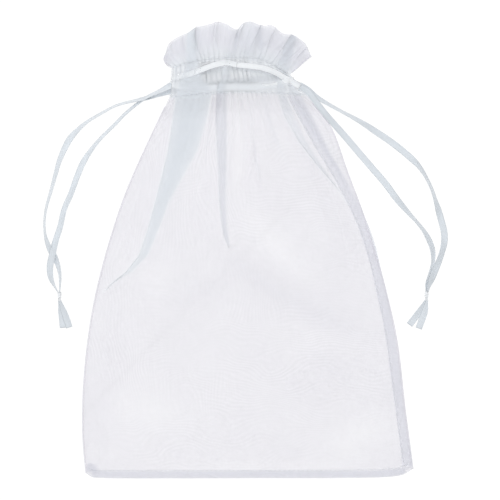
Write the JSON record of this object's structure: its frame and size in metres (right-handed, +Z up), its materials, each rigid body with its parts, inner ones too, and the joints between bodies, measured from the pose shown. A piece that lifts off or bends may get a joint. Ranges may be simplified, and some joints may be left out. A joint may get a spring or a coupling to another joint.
{
  "type": "drawstring pouch",
  "caption": "Sheer flat-lying cloth pouch with a gathered neck, a ruffled header and a ribbon drawstring leaving each side.",
  "frame": {"origin": "middle of the bag without its ribbons, on the surface it lies on", "axes": "+X across the bag to its seamed side, +Y along it towards the mouth, +Z up from the surface it lies on"},
  "size_m": [0.2469, 0.2768, 0.0166],
  "materials": {
    "organza": "sheer plain weave, soft sheen",
    "doubled_organza": "sheer plain weave in two plies, soft sheen",
    "satin_ribbon": "satin",
    "sewing_thread": "matt twisted thread"
  },
  "bodies": {
    "bag": {"front_panel": "organza", "back_panel": "organza", "front_casing": "doubled_organza", "back_casing": "doubled_organza", "front_ruffle": "doubled_organza", "back_ruffle": "doubled_organza", "bottom_seam_allowance": "doubled_organza", "bottom_seam_stitching": "sewing_thread", "front_casing_upper_stitching": "sewing_thread", "front_casing_lower_stitching": "sewing_thread", "back_casing_upper_stitching": "sewing_thread", "back_casing_lower_stitching": "sewing_thread", "left_drawstring_loop": "satin_ribbon", "right_drawstring_loop": "satin_ribbon"},
    "left_side": {"left_fold_edge": "doubled_organza"},
    "right_side": {"right_seam_allowance": "doubled_organza", "right_seam_stitching": "sewing_thread"},
    "left_drawstring": {"left_front_strand": "satin_ribbon", "left_back_strand": "satin_ribbon", "left_knot": "satin_ribbon", "left_front_tail": "satin_ribbon", "left_back_tail": "satin_ribbon"},
    "right_drawstring": {"right_front_strand": "satin_ribbon", "right_back_strand": "satin_ribbon", "right_knot": "satin_ribbon", "right_front_tail": "satin_ribbon", "right_back_tail": "satin_ribbon"}
  },
  "joints": [
    {"name": "left_drawstring_pull", "type": "slide", "parent": "left_side", "child": "left_drawstring", "axis": [-0.97, -0.243, 0], "range_m": [0, 0.028]},
    {"name": "right_drawstring_pull", "type": "slide", "parent": "right_side", "child": "right_drawstring", "axis": [0.8418, -0.5398, 0], "range_m": [0, 0.028]},
    {"name": "left_neck_gather", "type": "hinge", "parent": "bag", "child": "left_side", "pos_m": [-0.075, -0.138, 0], "axis": [0, 0, -1], "range_deg": [0, 3.5], "deforming": ["front_panel", "back_panel", "front_casing", "back_casing", "front_ruffle", "back_ruffle", "bottom_seam_allowance", "bottom_seam_stitching", "front_casing_upper_stitching", "front_casing_lower_stitching", "back_casing_upper_stitching", "back_casing_lower_stitching", "left_drawstring_loop", "right_drawstring_loop"]},
    {"name": "right_neck_gather", "type": "hinge", "parent": "bag", "child": "right_side", "pos_m": [0.075, -0.138, 0], "axis": [0, 0, 1], "range_deg": [0, 3.5], "deforming": ["front_panel", "back_panel", "front_casing", "back_casing", "front_ruffle", "back_ruffle", "bottom_seam_allowance", "bottom_seam_stitching", "front_casing_upper_stitching", "front_casing_lower_stitching", "back_casing_upper_stitching", "back_casing_lower_stitching", "left_drawstring_loop", "right_drawstring_loop"]}
  ],
  "couplings": [
    {"joint": "left_neck_gather", "follows": "left_drawstring_pull", "rad_per_m": 2.18},
    {"joint": "right_neck_gather", "follows": "right_drawstring_pull", "rad_per_m": 2.18}
  ]
}
